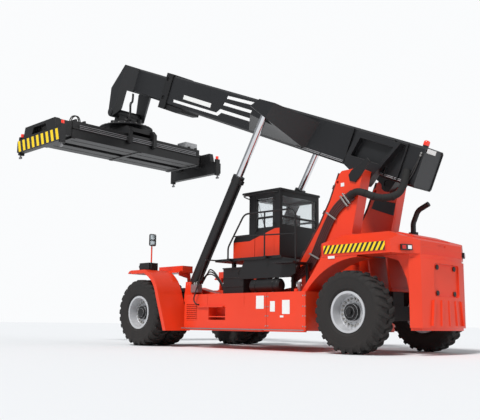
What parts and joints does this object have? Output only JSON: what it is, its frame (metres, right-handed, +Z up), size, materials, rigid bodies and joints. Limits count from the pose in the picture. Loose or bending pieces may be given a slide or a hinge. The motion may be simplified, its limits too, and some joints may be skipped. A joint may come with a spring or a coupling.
{
  "type": "reach stacker",
  "caption": "Container handler with a sliding boom on two lift cylinders, a turning telescopic spreader, a cab, twin front wheels and steered rear wheels.",
  "frame": {"origin": "middle of the footprint on the ground", "axes": "+X forward along the boom, +Y to the driver's left, +Z up"},
  "size_m": [12.1602, 6.06, 8.3699],
  "materials": {
    "body_red": "gloss",
    "boom_grey": "satin",
    "frame_black": "satin",
    "tyre": "matt",
    "rim_silver": "satin",
    "rod_chrome": "polished",
    "steel": "satin",
    "glass": "clear",
    "seat_black": "woven",
    "lamp_amber": "gloss"
  },
  "bodies": {
    "chassis": {"main_frame": "body_red", "drive_axle": "frame_black", "steer_axle": "frame_black", "counterweight": "body_red", "engine_hood": "body_red", "engine_tray": "body_red", "engine_block": "steel", "exhaust_stack": "frame_black", "front_fenders": "body_red", "rear_fenders": "body_red", "side_tanks": "body_red", "cab_platform": "frame_black", "battery_box": "frame_black", "air_tank": "frame_black", "filter_canister": "frame_black", "cab_shell": "frame_black", "cab_side_panels": "body_red", "cab_glass": "glass", "operator_seat": "seat_black", "steering_column": "frame_black", "handrails": "frame_black", "lamps": "frame_black", "tower_pipes": "steel", "boom_pins": "frame_black"},
    "hood_lid": {"hood_lid": "body_red"},
    "cab_door": {"cab_door": "frame_black", "door_glass": "glass", "door_panel": "body_red"},
    "boom": {"outer_boom": "boom_grey", "boom_collar": "frame_black"},
    "inner_boom": {"inner_boom": "boom_grey", "boom_head": "boom_grey"},
    "lift_barrels": {"lift_cylinder_barrels": "frame_black"},
    "lift_rods": {"lift_cylinder_rods": "rod_chrome"},
    "head_carrier": {"head_carrier": "frame_black"},
    "rotator": {"rotator_frame": "frame_black"},
    "spreader": {"spreader_main": "frame_black"},
    "end_left": {"telescopic_end_left": "frame_black", "twistlocks_left": "steel", "beacons_left": "lamp_amber"},
    "end_right": {"telescopic_end_right": "frame_black", "twistlocks_right": "steel", "beacons_right": "lamp_amber"},
    "knuckle_left": {"steering_knuckle_left": "frame_black"},
    "knuckle_right": {"steering_knuckle_right": "frame_black"},
    "rear_wheel_left": {"rear_tyre_left": "tyre", "rear_rim_left": "rim_silver"},
    "rear_wheel_right": {"rear_tyre_right": "tyre", "rear_rim_right": "rim_silver"},
    "front_wheels_left": {"front_tyres_left": "tyre", "front_rims_left": "rim_silver"},
    "front_wheels_right": {"front_tyres_right": "tyre", "front_rims_right": "rim_silver"}
  },
  "joints": [
    {"name": "boom_lower", "type": "hinge", "parent": "chassis", "child": "boom", "pos_m": [-4.47409, 0, 3.65], "axis": [0, 1, 0], "range_deg": [-36.6, 23.4]},
    {"name": "boom_extend", "type": "slide", "parent": "boom", "child": "inner_boom", "axis": [0.9178, 0, 0.3971], "range_m": [-1.5, 4.6]},
    {"name": "lift_cylinder_tilt", "type": "hinge", "parent": "chassis", "child": "lift_barrels", "pos_m": [0.22591, 0, 1.45], "axis": [0, 1, 0], "range_deg": [-4.4, 2.82]},
    {"name": "lift_rod_slide", "type": "slide", "parent": "lift_barrels", "child": "lift_rods", "axis": [0.5179, 0, -0.8554], "range_m": [-1.7395, 1.1129]},
    {"name": "spreader_level", "type": "hinge", "parent": "inner_boom", "child": "head_carrier", "pos_m": [4.89859, 0, 7.01947], "axis": [0, 1, 0], "range_deg": [-23.5, 36.7]},
    {"name": "spreader_rotate", "type": "hinge", "parent": "head_carrier", "child": "rotator", "pos_m": [4.89859, 0, 6.53], "axis": [0, 0, 1], "range_deg": [-185, 95]},
    {"name": "side_shift", "type": "slide", "parent": "rotator", "child": "spreader", "axis": [0, 1, 0], "range_m": [-0.8, 0.8]},
    {"name": "telescope_left", "type": "slide", "parent": "spreader", "child": "end_left", "axis": [0, 1, 0], "range_m": [0, 3.05]},
    {"name": "telescope_right", "type": "slide", "parent": "spreader", "child": "end_right", "axis": [0, -1, 0], "range_m": [0, 3.05]},
    {"name": "steer_left", "type": "hinge", "parent": "chassis", "child": "knuckle_left", "pos_m": [-4.77409, 1.05, 0.8075], "axis": [0, 0, 1], "range_deg": [-60, 60]},
    {"name": "steer_right", "type": "hinge", "parent": "chassis", "child": "knuckle_right", "pos_m": [-4.77409, -1.05, 0.8075], "axis": [0, 0, 1], "range_deg": [-60, 60]},
    {"name": "rear_wheel_left_roll", "type": "hinge", "parent": "knuckle_left", "child": "rear_wheel_left", "pos_m": [-4.77409, 1.37, 0.8075], "axis": [0, 1, 0], "continuous": true},
    {"name": "rear_wheel_right_roll", "type": "hinge", "parent": "knuckle_right", "child": "rear_wheel_right", "pos_m": [-4.77409, -1.37, 0.8075], "axis": [0, 1, 0], "continuous": true},
    {"name": "front_wheels_left_roll", "type": "hinge", "parent": "chassis", "child": "front_wheels_left", "pos_m": [1.22591, 1.53, 0.8075], "axis": [0, 1, 0], "continuous": true},
    {"name": "front_wheels_right_roll", "type": "hinge", "parent": "chassis", "child": "front_wheels_right", "pos_m": [1.22591, -1.53, 0.8075], "axis": [0, 1, 0], "continuous": true},
    {"name": "cab_door_swing", "type": "hinge", "parent": "chassis", "child": "cab_door", "pos_m": [-2.08999, 0.729, 2.05], "axis": [0, 0, 1], "range_deg": [0, 100]},
    {"name": "hood_lid_lift", "type": "hinge", "parent": "chassis", "child": "hood_lid", "pos_m": [-4.83409, 0, 2.386], "axis": [0, 1, 0], "range_deg": [0, 48]}
  ],
  "couplings": [
    {"joint": "lift_cylinder_tilt", "follows": "boom_lower", "ratio": 0.12},
    {"joint": "lift_rod_slide", "follows": "boom_lower", "m_per_rad": 2.72},
    {"joint": "spreader_level", "follows": "boom_lower", "ratio": -1},
    {"joint": "telescope_right", "follows": "telescope_left", "ratio": 1},
    {"joint": "steer_right", "follows": "steer_left", "ratio": 1}
  ]
}
